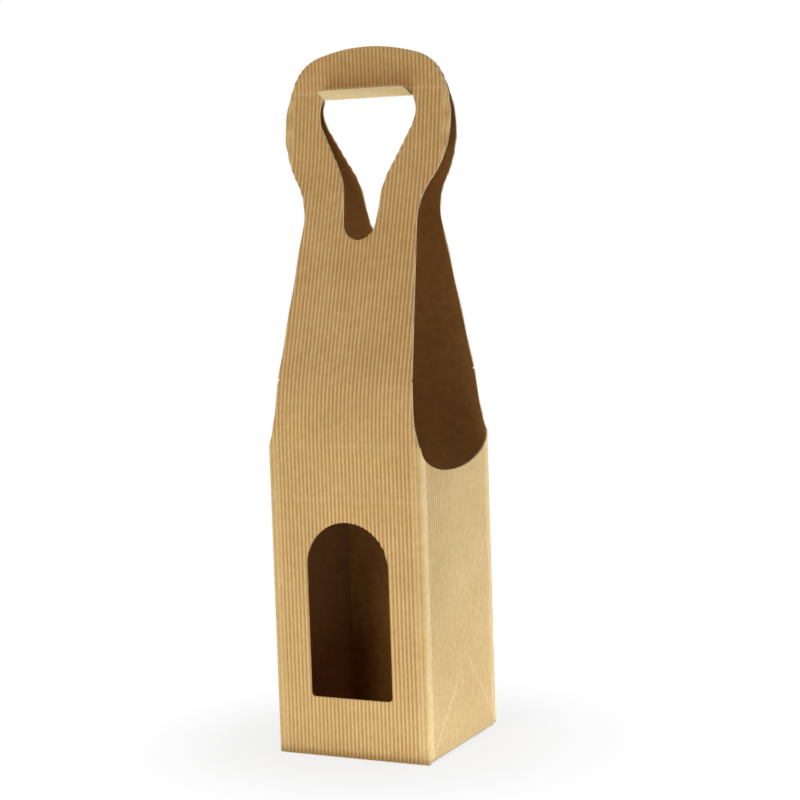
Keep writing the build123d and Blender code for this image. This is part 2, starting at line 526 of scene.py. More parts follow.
@dataclass
class HandleSide:
    """Front or back of the bag: the wall and the handle panel that grows out of it, with its hand flap."""

    sizes: BagSizes
    facing: Facing
    windowed: bool
    crown_half: float = 30 * MM
    crown_drop: float = 4.7 * MM
    brow_half: float = 44.6 * MM
    brow_drop: float = 17.5 * MM
    head_half: float = 49.9 * MM
    head_drop: float = 46 * MM
    cheek_half: float = 40.5 * MM
    cheek_drop: float = 73 * MM
    waist_half: float = 34.2 * MM
    waist_drop: float = 97 * MM
    flank_half: float = 41.2 * MM
    flank_rise: float = 19 * MM
    score_rise: float = 35 * MM
    nick_depth: float = 0.8 * MM
    grip_half: float = 27.2 * MM
    grip_drop: float = 18.3 * MM
    flare_half: float = 15 * MM
    flare_drop: float = 41.8 * MM
    mouth_half: float = 11.4 * MM
    mouth_drop: float = 54.8 * MM
    slot_half: float = 10 * MM
    slot_drop: float = 79 * MM
    flap_length: float = 10 * MM
    flap_end_length: float = 7.5 * MM
    flap_tip_half: float = 21.5 * MM
    flap_rise: float = radians(23)
    window_half: float = 24.5 * MM
    window_sill: float = 33.2 * MM
    window_top: float = 129.7 * MM
    window_corner: float = 2.5 * MM
    window_arch_steps: int = 32
    band_edge: float = 3.6 * MM
    corner_fade_drop: float = 6 * MM
    corner_fade_rise: float = 12 * MM
    corner_row_drop: float = 2 * MM
    press_reach: float = 0.9 * MM
    score_press: float = 0.3
    bar_press: float = 0.35
    hinge_reach: float = 1.5 * MM
    hinge_rows: int = 3
    hinge_margin: float = 0.5 * MM
    bend_rows: int = 10
    trim_spare: float = 1 * MM

    @property
    def score_level(self) -> float:
        """Level of the score across the panel where it starts to lean."""
        return self.sizes.corner_height + self.score_rise

    def levels(self) -> list[float]:
        """Choose the rows of points, close together at bends and creases.

        Returns:
            The levels of the rows from the bottom up.
        """
        sizes = self.sizes
        low = sizes.front_edge if self.windowed else sizes.sole_fold
        rows = {low, sizes.height + self.trim_spare} | PanelPath(sizes).bend_levels(self.bend_rows)
        if not self.windowed:
            rows |= {low + run for run in sizes.board.crease_runs()}
        rows |= {sizes.corner_height - drop for drop in (self.corner_fade_drop, self.corner_row_drop)}
        for crease in (self.score_level, sizes.bar_level):
            rows |= {crease + way * self.press_reach for way in (-1, 0, 1)}
        for row in range(self.hinge_rows + 1):
            rows.add(sizes.hinge_level + self.hinge_reach * row / self.hinge_rows)
        return sorted(rows)

    def standing(self, place: float, level: float) -> float:
        """Find how much of the flute height stands at a place of the panel.

        Args:
            place: Place across the panel.
            level: Height above the floor.

        Returns:
            The share, 0 where the flutes are crushed flat and 1 where they stand.
        """
        sizes = self.sizes
        band_start = sizes.front_half - sizes.board.fold_band
        into_band = smooth_share(abs(place), band_start, sizes.front_half - self.band_edge)
        fade_start = sizes.corner_height - self.corner_fade_drop
        above_corner = smooth_share(level, fade_start, sizes.corner_height + self.corner_fade_rise)
        share = 1 - into_band * (1 - above_corner)
        if not self.windowed:
            share *= smooth_share(level, sizes.sole_fold, sizes.sole_fold + sizes.board.crease_band)
        for crease, press in ((self.score_level, self.score_press), (sizes.bar_level, self.bar_press)):
            share *= 1 - press * (1 - smooth_share(abs(level - crease), 0, self.press_reach))
        if abs(place) < sizes.flap_width / 2 + self.hinge_margin:
            share *= smooth_share(abs(level - sizes.hinge_level), 0, self.hinge_reach)
        return share

    def outline(self) -> bpy.types.Object:
        """Draw the wall and the handle panel, from the crown down to the bottom edge.

        Returns:
            The cutter that holds them.
        """
        sizes = self.sizes
        flank_level = sizes.corner_height + self.flank_rise
        waist_level = sizes.height - self.waist_drop
        slope = (self.flank_half - self.waist_half) / (waist_level - flank_level)
        score_half = self.flank_half - slope * (self.score_level - flank_level)
        pen = DieLine(0, sizes.height).head(1, 0).arc_to(self.crown_half, sizes.height - self.crown_drop)
        pen.arc_to(self.brow_half, sizes.height - self.brow_drop)
        pen.arc_to(self.head_half, sizes.height - self.head_drop)
        pen.arc_to(self.cheek_half, sizes.height - self.cheek_drop)
        pen.arc_to(self.waist_half, waist_level)
        pen.line_to(score_half - self.nick_depth * slope, self.score_level + self.nick_depth)
        pen.line_to(score_half - self.nick_depth, self.score_level)
        pen.line_to(score_half + self.nick_depth * slope, self.score_level - self.nick_depth)
        pen.line_to(self.flank_half, flank_level)
        pen.arc_to(sizes.inner_x, sizes.corner_height)
        pen.line_to(sizes.front_half, sizes.corner_height - sizes.board.fold_radius)
        pen.line_to(sizes.front_half, 0).line_to(0, 0)
        return pen.cutter(FRONT_STAND, sizes.depth)

    def hand_hole(self) -> bpy.types.Object:
        """Draw the hand hole and the narrow slot below it.

        Returns:
            The cutter.
        """
        hinge = self.sizes.hinge_level
        slot_low = hinge - self.slot_drop
        pen = DieLine(0, slot_low).head(1, 0).arc_to(self.slot_half, slot_low + self.slot_half)
        pen.line_to(self.mouth_half, hinge - self.mouth_drop)
        pen.arc_to(self.flare_half, hinge - self.flare_drop)
        pen.line_to(self.grip_half, hinge - self.grip_drop)
        pen.arc_to(self.sizes.flap_width / 2, hinge)
        pen.line_to(0, hinge)
        return pen.cutter(FRONT_STAND, self.sizes.depth)

    def window(self) -> bpy.types.Object:
        """Draw the arched window.

        Returns:
            The cutter.
        """
        corner = self.window_corner
        pen = DieLine(0, self.window_sill).line_to(self.window_half - corner, self.window_sill)
        pen.arc_to(self.window_half, self.window_sill + corner)
        pen.line_to(self.window_half, self.window_top - self.window_half)
        pen.arc_to(0, self.window_top, self.window_arch_steps)
        return pen.cutter(FRONT_STAND, self.sizes.depth)

    def build(self, bag: BMesh) -> None:
        """Build the side of the bag and its hand flap.

        Args:
            bag: The bag's mesh, which takes them up.
        """
        panel = BoardPanel(
            f"{self.facing.value}_panel",
            self.sizes.board,
            [PanelPath(self.sizes).station(level) for level in self.levels()],
            Vector((1, 0, 0)),
            self.head_half,
            self.standing,
            self.facing.turn,
        )
        outline = self.outline()
        holes = [self.hand_hole()] + ([self.window()] if self.windowed else [])
        panel.build(outline, holes, bag)
        remove_cutters([outline, *holes])
        self.build_flap(bag)

    def build_flap(self, bag: BMesh) -> None:
        """Build the hand flap, turned outwards and up under the bar, with the fold that carries it.

        Args:
            bag: The bag's mesh, which takes them up.
        """
        sizes, board = self.sizes, self.sizes.board
        radius = board.fold_radius + board.crushed
        pivot = Vector((0, -sizes.bar_gap / 2 - radius, sizes.hinge_level))
        start = pivot + Vector((0, -radius * sin(self.flap_rise), -radius * cos(self.flap_rise)))
        way = Vector((0, -cos(self.flap_rise), sin(self.flap_rise)))
        outward = Vector((0, sin(self.flap_rise), cos(self.flap_rise)))
        runs = [*board.crease_runs(), self.flap_length]
        # The flap's liner face and its fold take the paler copy of the liner, a painted light
        flap = BoardPanel(
            f"{self.facing.value}_hand_flap",
            board,
            [Station(start + way * run, outward, run) for run in runs],
            Vector((-1, 0, 0)),
            sizes.flap_width / 2,
            lambda place, run: smooth_share(run, 0, board.crease_band),
            self.facing.turn,
            Finish.FLAP_FACE,
        )
        half = sizes.flap_width / 2
        tip_y = start.y - self.flap_length * cos(self.flap_rise)
        end_y = start.y - self.flap_end_length * cos(self.flap_rise)
        bow = atan2(end_y - tip_y, half - self.flap_tip_half)
        pen = DieLine(0, 0).line_to(half, 0).line_to(half, end_y).head(-cos(2 * bow), -sin(2 * bow))
        pen.arc_to(self.flap_tip_half, tip_y).line_to(0, tip_y)
        stand = Matrix.Translation((0, 0, sizes.bar_level - sizes.bar_height))
        outline = pen.cutter(stand, 2 * sizes.bar_height)
        flap.build(outline, [], bag)
        remove_cutters([outline])
        middle = Vector((0, -sizes.bar_gap / 2 - board.crushed / 2, sizes.hinge_level))
        turn = pi / 2 + self.flap_rise
        fold = fold_strip(half, board, middle, pivot, turn, Finish.FLAP_FACE, board.fold_ripple)
        add_finished(fold, bag, self.facing.turn)


def fold_strip(
    half: float,
    board: Board,
    middle: Vector,
    pivot: Vector,
    angle: float,
    outer: Finish = Finish.FLUTES,
    ripple: float = 0.0,
) -> bpy.types.Object:
    """Board crushed along a fold that runs along X, turned about -X from a level start face.

    Args:
        half: Half the fold's length.
        board: Sizes of the board.
        middle: Middle of the level face the fold starts from.
        pivot: Point of the axis it turns about.
        angle: How far it turns, in radians.
        outer: Finish on the outside of the bend; the other side has the liner or the flutes.
        ripple: How far the flutes press through to the outside of the bend.

    Returns:
        The fold as an object.
    """
    mesh = bmesh.new()
    start = Matrix.Translation(middle) @ Matrix.Diagonal((half, board.crushed / 2, 1, 1))
    strips = ceil(2 * half / board.pitch) * board.steps if ripple else 1
    bmesh.ops.create_grid(mesh, x_segments=strips, y_segments=1, size=1, matrix=start)
    bmesh.ops.spin(
        mesh,
        geom=mesh.verts[:] + mesh.edges[:] + mesh.faces[:],
        cent=pivot,
        axis=(-1, 0, 0),
        angle=angle,
        steps=board.bend_steps,
        use_merge=False,
    )
    bmesh.ops.recalc_face_normals(mesh, faces=mesh.faces[:])
    arm = middle - pivot
    if ripple:
        for vert in mesh.verts:
            away = vert.co - pivot
            away.x = 0
            if away.length > arm.length:
                bent = max(sin(pi * min(arm.angle(away) / angle, 1)), 0)
                crest = (1 + cos(2 * pi * vert.co.x / board.pitch)) / 2
                vert.co += away.normalized() * ripple * sqrt(bent) * crest
    inside = Finish.LINER if outer == Finish.FLUTES else Finish.FLUTES
    for face in mesh.faces:
        face.smooth = True
        away = face.calc_center_median() - pivot
        away.x = 0
        face.material_index = outer if away.length > arm.length else inside
        if abs(face.normal.x) > END_SHARE:
            face.material_index = Finish.CUT_EDGE
    return loose_object("fold", mesh)


@dataclass
class SideWall:
    """Side wall with its round low cut; its fold into a dust flap is built with the bottom panel."""

    sizes: BagSizes
    facing: Facing
    cut_steps: int = 32
    band_fade: float = 1.2 * MM

    def standing(self, place: float, level: float) -> float:
        """Find how much of the flute height stands at a place of the wall.

        Args:
            place: Place across the wall.
            level: Height above the floor.

        Returns:
            The share, 0 where the flutes are crushed flat and 1 where they stand.
        """
        sizes = self.sizes
        edge = sizes.side_half - sizes.board.fold_band
        share = 1 - smooth_share(abs(place), edge, edge + self.band_fade)
        return share * smooth_share(level, sizes.dust_fold, sizes.dust_fold + sizes.board.crease_band)

    def build(self, bag: BMesh) -> None:
        """Build the wall.

        Args:
            bag: The bag's mesh, which takes it up.
        """
        sizes, board = self.sizes, self.sizes.board
        levels = [*[sizes.dust_fold + run for run in board.crease_runs()], sizes.corner_height]
        wall = BoardPanel(
            f"{self.facing.value}_wall",
            board,
            [Station(Vector((sizes.inner_x, 0, level)), Vector((1, 0, 0)), level) for level in levels],
            Vector((0, 1, 0)),
            sizes.side_half,
            self.standing,
            self.facing.turn,
        )
        pen = DieLine(0, 0).line_to(sizes.side_half, 0)
        first = acos(sizes.side_half / sizes.inner_y)
        for step in range(self.cut_steps + 1):
            y = sizes.inner_y * cos(first + (pi / 2 - first) * step / self.cut_steps)
            pen.line_to(y, sizes.cut_level(y))
        outline = pen.cutter(SIDE_STAND, sizes.width)
        wall.build(outline, [], bag)
        remove_cutters([outline])


@dataclass
class UprightFolds:
    """The four crushed folds between the walls."""

    sizes: BagSizes

    def build(self, bag: BMesh) -> None:
        """Bend a quarter round and set it at each corner, trimmed to the walls beside it.

        Args:
            bag: The bag's mesh, which takes the folds up.
        """
        sizes = self.sizes
        for quarter in range(4):
            mesh = self.bend_quarter()
            right = 1 if quarter in (0, 3) else -1
            behind = 1 if quarter in (0, 1) else -1
            corner = Matrix.Translation((right * sizes.front_half, behind * sizes.side_half, 0))
            turn = Matrix.Rotation(quarter * pi / 2, 4, "Z")
            bmesh.ops.transform(mesh, matrix=corner @ turn, verts=mesh.verts[:])
            for vert in mesh.verts:
                on_front = smooth_share(-vert.co.y, sizes.side_half, sizes.inner_y)
                low = sizes.sole_fold + (sizes.front_edge - sizes.sole_fold) * on_front
                vert.co.z = sizes.cut_level(vert.co.y) if vert.co.z > sizes.corner_height / 2 else low
            add_finished(loose_object("upright_fold", mesh), bag, 0)

    def bend_quarter(self) -> BMesh:
        """Bend crushed board a quarter round, as tall as the corner.

        Returns:
            The mesh, bent about the Z axis from +X to +Y.
        """
        sizes, board = self.sizes, self.sizes.board
        middle = board.fold_radius + board.crushed / 2
        mesh = bmesh.new()
        start = Matrix.Translation((middle, 0, 0)) @ Matrix.Diagonal((board.crushed / 2, 1, 1, 1))
        bmesh.ops.create_grid(mesh, x_segments=1, y_segments=1, size=1, matrix=start)
        for vert in mesh.verts:
            vert.co = (vert.co.x, 0, sizes.front_edge if vert.co.y < 0 else sizes.corner_height)
        bmesh.ops.spin(
            mesh,
            geom=mesh.verts[:] + mesh.edges[:] + mesh.faces[:],
            cent=(0, 0, 0),
            axis=(0, 0, 1),
            angle=pi / 2,
            steps=board.corner_steps,
            use_merge=False,
        )
        bmesh.ops.recalc_face_normals(mesh, faces=mesh.faces[:])
        for face in mesh.faces:
            face.smooth = True
            outer = face.calc_center_median().to_2d().length > middle
            face.material_index = Finish.FLUTES if outer else Finish.LINER
            if abs(face.normal.z) > END_SHARE:
                face.material_index = Finish.CUT_EDGE
        return mesh


@dataclass
class Sole:
    """Bottom panel folded under from the back wall, its tongue behind the front wall, and the dust flaps."""

    sizes: BagSizes
    tongue_half: float = 22 * MM
    tongue_height: float = 16 * MM
    dust_length: float = 38 * MM
    dust_inset: float = 3 * MM

    def build(self, bag: BMesh) -> None:
        """Build the bottom panel, its tongue and the dust flaps.

        Args:
            bag: The bag's mesh, which takes them up.
        """
        self.build_panel(bag)
        self.build_tongue(bag)
        for turn in (pi / 2, -pi / 2):
            self.build_dust_flap(bag, turn)

    @property
    def toe(self) -> float:
        """Place along Y where the bottom panel starts to fold up into its tongue."""
        sizes, board = self.sizes, self.sizes.board
        return -sizes.inner_y + sizes.layer_gap + board.crushed + board.fold_radius

    def build_panel(self, bag: BMesh) -> None:
        """Build the bottom panel and the fold that joins it to the back wall.

        Args:
            bag: The bag's mesh, which takes them up.
        """
        sizes, board = self.sizes, self.sizes.board
        heel, toe = sizes.side_half, self.toe
        fade = board.crease_runs()
        places = [heel - run for run in fade] + [toe + run for run in reversed(fade)]
        panel = BoardPanel(
            "bottom_panel",
            board,
            [Station(Vector((0, place, board.thickness)), Vector((0, 0, -1)), place) for place in places],
            Vector((1, 0, 0)),
            sizes.front_half,
            lambda _, run: smooth_share(min(heel - run, run - toe), 0, board.crease_band),
        )
        pen = DieLine(0, -sizes.depth).line_to(sizes.front_half, -sizes.depth)
        pen.line_to(sizes.front_half, sizes.depth).line_to(0, sizes.depth)
        outline = pen.cutter(Matrix.Translation((0, 0, -sizes.width / 2)), sizes.width)
        panel.build(outline, [], bag)
        remove_cutters([outline])
        start = Vector((0, sizes.inner_y + board.crushed / 2, sizes.sole_fold))
        pivot = Vector((0, heel, sizes.sole_fold))
        add_finished(fold_strip(sizes.front_half, board, start, pivot, pi / 2), bag, 0)

    def build_tongue(self, bag: BMesh) -> None:
        """Build the tongue that is tucked behind the front wall.

        Args:
            bag: The bag's mesh, which takes it up.
        """
        sizes, board = self.sizes, self.sizes.board
        start = Vector((0, self.toe - board.fold_radius - board.crushed / 2, sizes.sole_fold))
        pivot = Vector((0, self.toe, sizes.sole_fold))
        add_finished(fold_strip(self.tongue_half, board, start, pivot, -pi / 2), bag, 0)
        self.add_plate(bag, start, Vector((self.tongue_half, board.crushed / 2, 0)), self.tongue_height)

    def build_dust_flap(self, bag: BMesh, turn: float) -> None:
        """Build a dust flap and the fold that joins it to its side wall.

        Args:
            bag: The bag's mesh, which takes them up.
            turn: Turn about Z that brings them from the back to their side.
        """
        sizes, board = self.sizes, self.sizes.board
        start = Vector((0, sizes.inner_x + board.crushed / 2, sizes.dust_fold))
        pivot = Vector((0, sizes.front_half, sizes.dust_fold))
        add_finished(fold_strip(sizes.side_half, board, start, pivot, pi / 2), bag, turn)
        level = sizes.dust_fold - board.fold_radius - board.crushed
        middle = Vector((0, sizes.front_half - self.dust_length / 2, level))
        reach = Vector((sizes.side_half - self.dust_inset, self.dust_length / 2, 0))
        self.add_plate(bag, middle, reach, board.crushed, turn)

    def add_plate(self, bag: BMesh, middle: Vector, reach: Vector, rise: float, turn: float = 0.0) -> None:
        """Add a plain plate of crushed board.

        Args:
            bag: The bag's mesh.
            middle: Middle of the plate's lower face.
            reach: Half sizes along X and Y.
            rise: Height of the plate.
            turn: Turn about Z, in radians.
        """
        mesh = bmesh.new()
        centre = Matrix.Translation(middle + Vector((0, 0, rise / 2)))
        size = Matrix.Diagonal((reach.x * 2, reach.y * 2, rise, 1))
        bmesh.ops.create_cube(mesh, size=1, matrix=centre @ size)
        for face in mesh.faces:
            face.material_index = Finish.LINER
        add_finished(loose_object("plate", mesh), bag, turn)


@dataclass
class Bag:
    """The whole folded bag as one piece."""

    sizes: BagSizes = field(default_factory=BagSizes)
    sharp_angle: float = radians(60)

    def build(self) -> bpy.types.Object:
        """Build every panel into one mesh.

        Returns:
            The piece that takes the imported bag's place.
        """
        bag = bmesh.new()
        HandleSide(self.sizes, Facing.FRONT, True).build(bag)
        HandleSide(self.sizes, Facing.BACK, False).build(bag)
        SideWall(self.sizes, Facing.RIGHT).build(bag)
        SideWall(self.sizes, Facing.LEFT).build(bag)
        UprightFolds(self.sizes).build(bag)
        Sole(self.sizes).build(bag)
        for edge in bag.edges:
            slots = {face.material_index for face in edge.link_faces}
            edge.smooth = len(slots) == 1 and edge.calc_face_angle(0) < self.sharp_angle
        piece = loose_object("carrier_bag", bag)
        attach(piece, "root")
        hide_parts("bag")
        return piece


def srgb(red: int, green: int, blue: int) -> Colour:
    """Work out the linear colour of a screen colour.

    Args:
        red: Red from 0 to 255.
        green: Green from 0 to 255.
        blue: Blue from 0 to 255.

    Returns:
        The linear colour.
    """
    shares = [value / 255 for value in (red, green, blue)]
    linear = [s / 12.92 if s <= 0.04045 else ((s + 0.055) / 1.055) ** 2.4 for s in shares]
    return (*linear, 1.0)


class GroupMaker:
    """Shader node group under construction: one vector in, named values out."""

    def __init__(self, name: str, *outputs: str) -> None:
        """Start the group with its sockets.

        Args:
            name: Name of the group.
            outputs: Names of the values it gives.
        """
        self.group = bpy.data.node_groups.new(name, "ShaderNodeTree")
        self.group.interface.new_socket("Vector", in_out="INPUT", socket_type="NodeSocketVector")
        for output in outputs:
            self.group.interface.new_socket(output, in_out="OUTPUT", socket_type="NodeSocketFloat")
        self.place: Socket = self.group.nodes.new("NodeGroupInput").outputs["Vector"]
        self.result = self.group.nodes.new("NodeGroupOutput")

    def axes(self) -> tuple[Socket, Socket, Socket]:
        """Split the group's vector.

        Returns:
            Sockets of its three parts.
        """
        split = self.group.nodes.new("ShaderNodeSeparateXYZ")
        self.group.links.new(self.place, split.inputs["Vector"])
        return split.outputs["X"], split.outputs["Y"], split.outputs["Z"]

    def noise(self, scale: float, detail: float, distortion: float = 0.0) -> Socket:
        """Read noise at the group's vector.

        Args:
            scale: Waves per metre.
            detail: Number of finer layers.
            distortion: How far the noise is bent by itself.

        Returns:
            Socket of the noise.
        """
        node = self.group.nodes.new("ShaderNodeTexNoise")
        node.inputs["Scale"].default_value = scale
        node.inputs["Detail"].default_value = detail
        node.inputs["Distortion"].default_value = distortion
        self.group.links.new(self.place, node.inputs["Vector"])
        return node.outputs["Fac"]

    def work(self, operation: str, *values: "Socket | float") -> Socket:
        """Add a math node.

        Args:
            operation: What the node works out.
            values: Sockets and numbers that it takes, in order.

        Returns:
            Socket of the result.
        """
        node = self.group.nodes.new("ShaderNodeMath")
        node.operation = operation
        for entry, value in zip(node.inputs, values):
            if isinstance(value, Socket):
                self.group.links.new(value, entry)
            else:
                entry.default_value = value
        return node.outputs[0]

    def ramp(self, value: Socket, low: float, high: float) -> Socket:
        """Add a soft step.

        Args:
            value: The value that is stepped.
            low: Where the step gives 0.
            high: Where it gives 1.

        Returns:
            Socket of the step.
        """
        node = self.group.nodes.new("ShaderNodeMapRange")
        node.interpolation_type = "SMOOTHSTEP"
        self.group.links.new(value, node.inputs["Value"])
        node.inputs["From Min"].default_value = low
        node.inputs["From Max"].default_value = high
        return node.outputs["Result"]

    def give(self, output: str, value: Socket) -> None:
        """Send a value out of the group."""
        self.group.links.new(value, self.result.inputs[output])


@dataclass(frozen=True)
class PaperFibre:
    """Pressed paper fibre: soft clouds, lumps of pulp and single fibres."""

    cloud_scale: float = 28
    cloud_detail: float = 3
    cloud_share: float = 0.35
    pulp_scale: float = 260
    pulp_detail: float = 4
    pulp_share: float = 0.4
    fibre_scale: float = 1500
    fibre_detail: float = 3
    fibre_bend: float = 1.6
    fibre_share: float = 0.25

    def group(self) -> bpy.types.NodeTree:
        """Build the node group.

        Returns:
            The group, with a tone for the colour and a height for the bump.
        """
        maker = GroupMaker("paper_fibre", "Tone", "Height")
        clouds = maker.noise(self.cloud_scale, self.cloud_detail)
        pulp = maker.noise(self.pulp_scale, self.pulp_detail)
        fibre = maker.noise(self.fibre_scale, self.fibre_detail, self.fibre_bend)
        tone = maker.work("MULTIPLY", clouds, self.cloud_share)
        tone = maker.work("MULTIPLY_ADD", pulp, self.pulp_share, tone)
        maker.give("Tone", maker.work("MULTIPLY_ADD", fibre, self.fibre_share, tone))
        maker.give("Height", maker.work("MULTIPLY", maker.work("ADD", pulp, fibre), 0.5))
        return maker.group


@dataclass(frozen=True)
class Crease:
    """A crease on the side walls that climbs along Y from the floor."""

    foot: float
    slope: float
    top: float


@dataclass(frozen=True)
class FluteRelief:
    """Painted light on the fluted face: painted shade in the flutes' valleys, less of it and paler on the
    side walls and crushed bands, and painted highlights along the pale creases pressed into it.
    """

    sizes: BagSizes
    # Painted shade: how far the valleys darken, and how much less and how much paler the side walls, seen at
    # a grazing angle, and the crushed bands are painted
    half_swing: float = 0.5
    side_swing_loss: float = 0.2
    band_swing_loss: float = 0.22
    side_lift: float = 0.25
    band_lift: float = 0.1
    # Painted highlights: pale lines along the gusset creases, dashed on the flute crests where perforated,
    # and across the bar crease and the press lines
    crease_edge: float = 1.5 * MM
    crease_core: float = 0.5 * MM
    crease_fade: float = 12 * MM
    folded_slope: float = 1.0
    folded_share: float = 0.5
    folded_strength: float = 0.3
    perforated_slope: float = -1.2
    perforated_share: float = 0.62
    perforated_offset: float = 3 * MM
    dash_start: float = 0.1
    dash_full: float = 1.3
    line_edge: float = 1.8 * MM
    line_core: float = 0.2 * MM
    bar_strength: float = 0.12
    press_strength: float = 0.05

    def group(self) -> bpy.types.NodeTree:
        """Build the node group.

        Returns:
            The group, with the flutes' rise from 0 in a valley to 1 on a crest, which sets the painted shade,
            and a mask of the creases, which sets the painted highlights.
        """
        sizes = self.sizes
        maker = GroupMaker("flute_relief", "Rise", "Crease")
        x, y, z = maker.axes()
        on_side = maker.work("GREATER_THAN", maker.work("ABSOLUTE", x), sizes.inner_x)
        across = maker.work("MULTIPLY_ADD", maker.work("SUBTRACT", y, x), on_side, x)
        wave = maker.work("COSINE", maker.work("MULTIPLY", across, 2 * pi / sizes.board.pitch))
        band_start = sizes.front_half - sizes.board.fold_band
        in_band = maker.work("GREATER_THAN", maker.work("ABSOLUTE", across), band_start)
        flat = maker.work("MULTIPLY", in_band, maker.work("LESS_THAN", z, sizes.corner_height))
        # Painted shade: the rise sets how dark each place is painted, paler on the side walls and the crushed
        # bands
        swing = maker.work("MULTIPLY_ADD", flat, -self.band_swing_loss, self.half_swing)
        swing = maker.work("MULTIPLY_ADD", on_side, -self.side_swing_loss, swing)
        middle = maker.work("MULTIPLY_ADD", flat, self.band_lift, self.half_swing)
        middle = maker.work("MULTIPLY_ADD", on_side, self.side_lift, middle)
        maker.give("Rise", maker.work("MULTIPLY_ADD", wave, swing, middle))
        marks = maker.work("MULTIPLY", self.gussets(maker, y, z, wave), on_side)
        # Painted highlights along the bar crease and the two press lines
        for level, strength in (
            (sizes.bar_level, self.bar_strength),
            (sizes.corner_height, self.press_strength),
            (sizes.press_level, self.press_strength),
        ):
            off_line = maker.work("ABSOLUTE", maker.work("SUBTRACT", z, level))
            near = maker.ramp(off_line, self.line_edge, self.line_core)
            marks = maker.work("MULTIPLY_ADD", near, strength, marks)
        maker.give("Crease", marks)
        return maker.group

    def gussets(self, maker: GroupMaker, y: Socket, z: Socket, wave: Socket) -> Socket:
        """Mask the two gusset creases of a side wall, one folded and one perforated, where pale highlights
        are painted.

        Args:
            maker: The group under construction.
            y: Place along Y.
            z: Height above the floor.
            wave: The flutes' wave, whose crests carry the painted highlight dashes of the perforation.

        Returns:
            Socket of the mask.
        """
        sizes = self.sizes
        heel = sizes.inner_y + self.perforated_offset
        masks = []
        for crease in (
            Crease(-sizes.inner_y, self.folded_slope, self.folded_share * sizes.depth),
            Crease(heel, self.perforated_slope, self.perforated_share * sizes.depth),
        ):
            climb = maker.work("MULTIPLY", maker.work("SUBTRACT", y, crease.foot), crease.slope)
            off_line = maker.work("ABSOLUTE", maker.work("SUBTRACT", z, climb))
            near = maker.ramp(off_line, self.crease_edge, self.crease_core)
            below_top = maker.ramp(z, crease.top, crease.top - self.crease_fade)
            masks.append(maker.work("MULTIPLY", near, below_top))
        folded, perforated = masks
        dashes = maker.work("MULTIPLY", perforated, maker.ramp(wave, self.dash_start, self.dash_full))
        return maker.work("MULTIPLY_ADD", folded, self.folded_strength, dashes)


@dataclass(frozen=True)
class KraftFinish:
    """Natural kraft paper with its fibre showing; where it is fluted, painted shade darkens the valleys and
    painted highlights lighten the creases.
    """

    slot: Finish
    dark: Colour
    pale: Colour
    roughness: float = 0.82
    bump: float = 0.25
    bump_depth: float = 0.12 * MM
    specular: float = 0.3
    sheen: float = 0.12
    dark_tone: float = 0.36
    pale_tone: float = 0.64
    fluted: bool = False
    # Painted shade: the colour multiplied into the valleys of the flutes
    valley_shade: Colour = (0.69, 0.52, 0.36, 1)
    # Colour of the painted highlights along the creases
    crease_tint: Colour = (0.9, 0.78, 0.5, 1)

    def build(self) -> None:
        """Build the material."""
        material = bpy.data.materials.new(self.slot.name.lower())
        material.use_nodes = True
        nodes, links = material.node_tree.nodes, material.node_tree.links
        shader = nodes["Principled BSDF"]
        shader.inputs["Roughness"].default_value = self.roughness
        shader.inputs["Specular IOR Level"].default_value = self.specular
        shader.inputs["Sheen Weight"].default_value = self.sheen
        place = nodes.new("ShaderNodeTexCoord").outputs["Object"]
        fibre = nodes.new("ShaderNodeGroup")
        fibre.node_tree = bpy.data.node_groups.get("paper_fibre") or PaperFibre().group()
        links.new(place, fibre.inputs["Vector"])
        ramp = nodes.new("ShaderNodeValToRGB")
        low, high = ramp.color_ramp.elements
        low.position, low.color = self.dark_tone, self.dark
        high.position, high.color = self.pale_tone, self.pale
        links.new(fibre.outputs["Tone"], ramp.inputs["Fac"])
        colour = ramp.outputs["Color"]
        if self.fluted:
            colour = self.add_relief(material.node_tree, place, colour)
        links.new(colour, shader.inputs["Base Color"])
        bump = nodes.new("ShaderNodeBump")
        bump.inputs["Strength"].default_value = self.bump
        bump.inputs["Distance"].default_value = self.bump_depth
        links.new(fibre.outputs["Height"], bump.inputs["Height"])
        links.new(bump.outputs["Normal"], shader.inputs["Normal"])

    def add_relief(self, tree: bpy.types.NodeTree, place: Socket, colour: Socket) -> Socket:
        """Paint shade into the valleys and highlights along the creases of a colour.

        Args:
            tree: Node tree of the material.
            place: Object coordinates.
            colour: The paper's colour.

        Returns:
            The colour with the painted shade and highlights.
        """
        relief = tree.nodes.new("ShaderNodeGroup")
        relief.node_tree = FluteRelief(BagSizes()).group()
        tree.links.new(place, relief.inputs["Vector"])
        # Painted shade: darken the paper towards the flutes' valleys
        shade = tree.nodes.new("ShaderNodeMix")
        shade.data_type = "RGBA"
        shade.inputs["A"].default_value = self.valley_shade
        shade.inputs["B"].default_value = WHITE
        tree.links.new(relief.outputs["Rise"], shade.inputs["Factor"])
        shaded = tree.nodes.new("ShaderNodeMix")
        shaded.data_type = "RGBA"
        shaded.blend_type = "MULTIPLY"
        shaded.inputs["Factor"].default_value = 1.0
        tree.links.new(colour, shaded.inputs["A"])
        tree.links.new(shade.outputs["Result"], shaded.inputs["B"])
        # Painted highlight: lighten the paper along the creases
        creased = tree.nodes.new("ShaderNodeMix")
        creased.data_type = "RGBA"
        creased.inputs["B"].default_value = self.crease_tint
        tree.links.new(relief.outputs["Crease"], creased.inputs["Factor"])
        tree.links.new(shaded.outputs["Result"], creased.inputs["A"])
        return creased.outputs["Result"]


